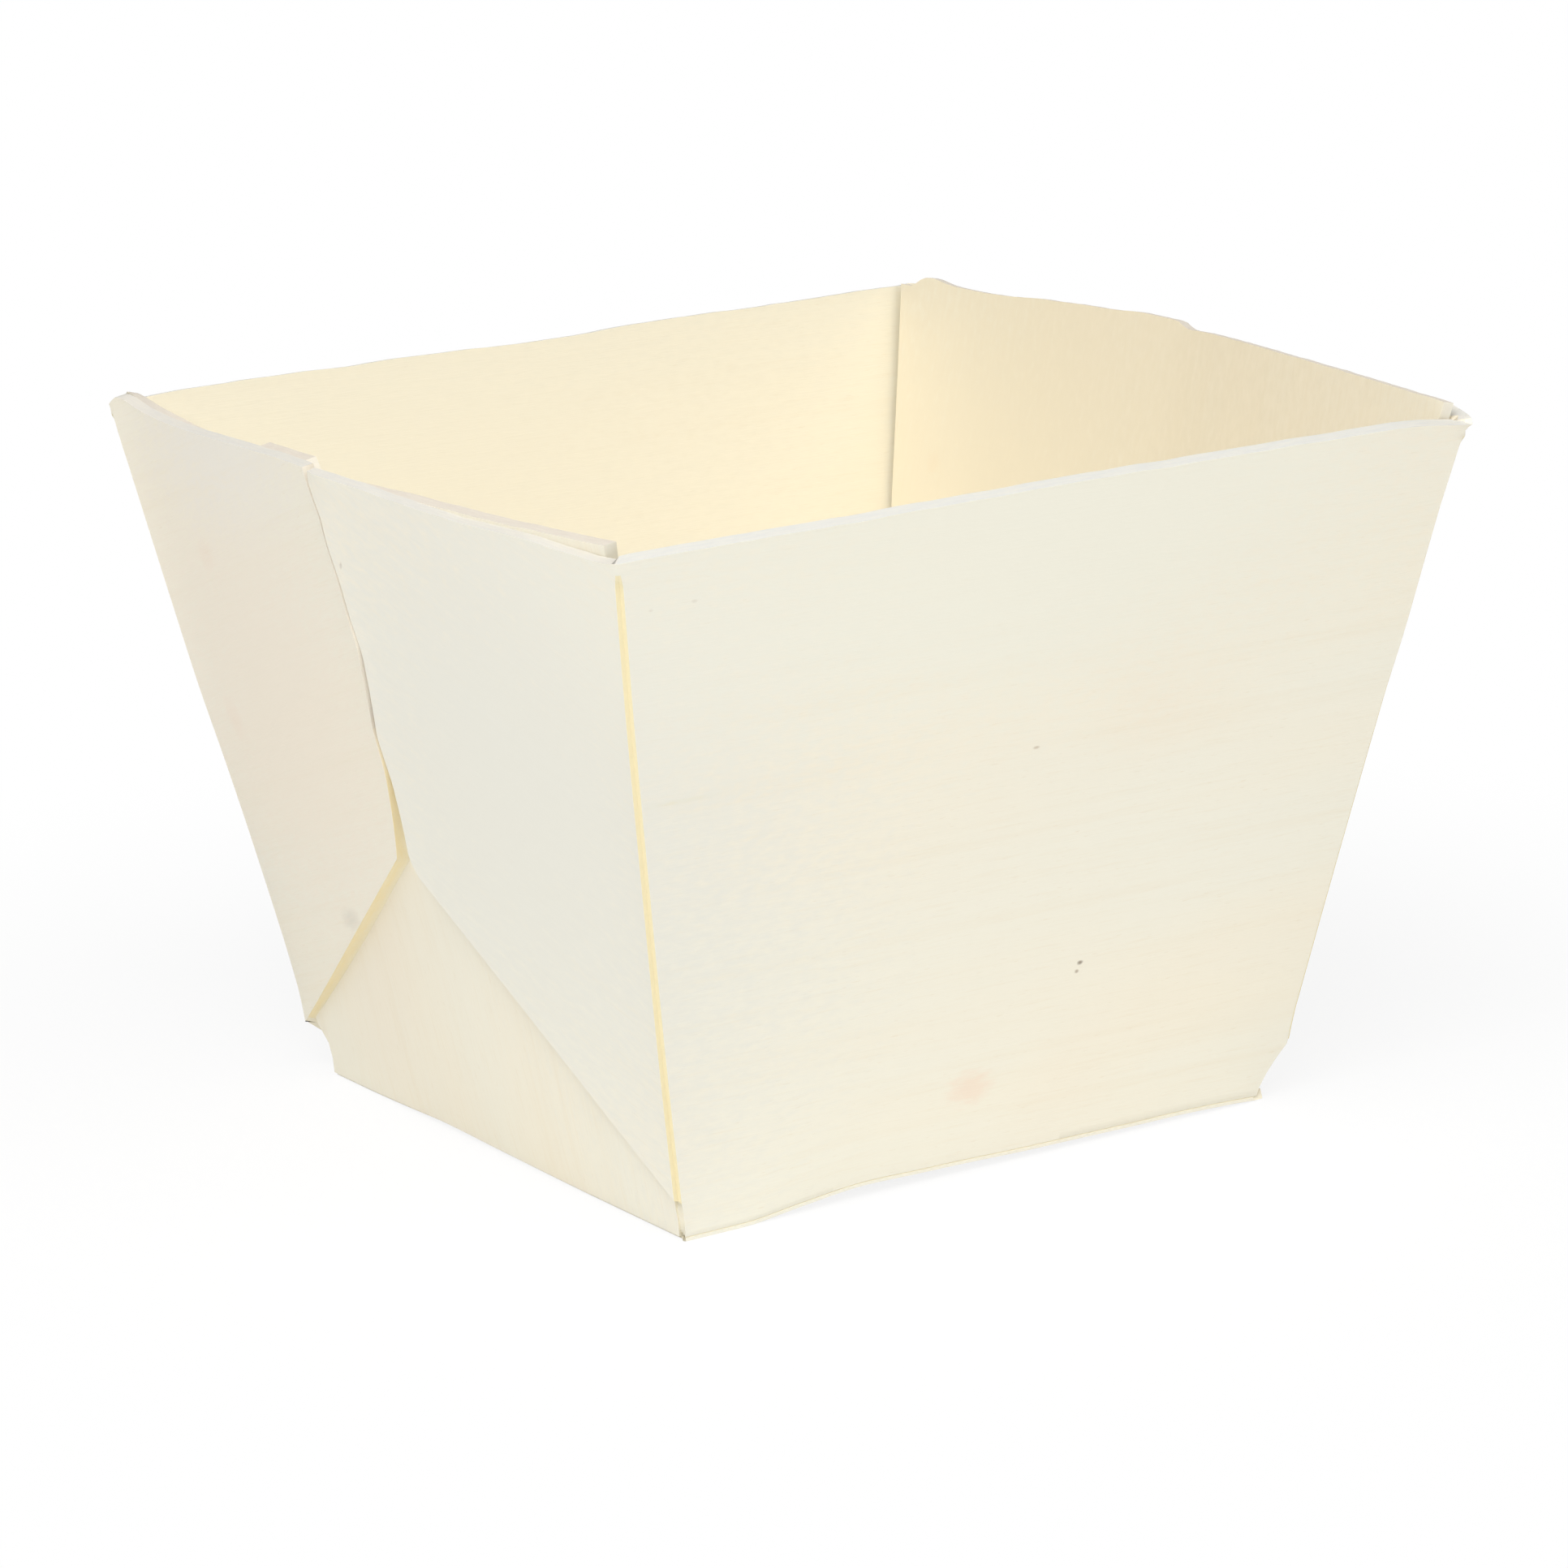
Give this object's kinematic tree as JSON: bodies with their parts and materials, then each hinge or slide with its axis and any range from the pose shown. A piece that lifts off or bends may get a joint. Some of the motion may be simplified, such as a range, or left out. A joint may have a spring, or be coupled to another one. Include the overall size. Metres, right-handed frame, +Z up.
{
  "type": "wooden snack tray",
  "caption": "Tapered snack tray folded from one sheet of peeled wood veneer, with flaps that wrap round and close both ends.",
  "frame": {"origin": "middle of the base's underside", "axes": "+X along the long walls, +Y across the tray, +Z up through the mouth"},
  "size_m": [0.0976, 0.084, 0.0652],
  "materials": {
    "veneer": "raw peeled poplar veneer, matt, with fine grain"
  },
  "bodies": {
    "root": {"tray": "veneer"}
  },
  "joints": []
}
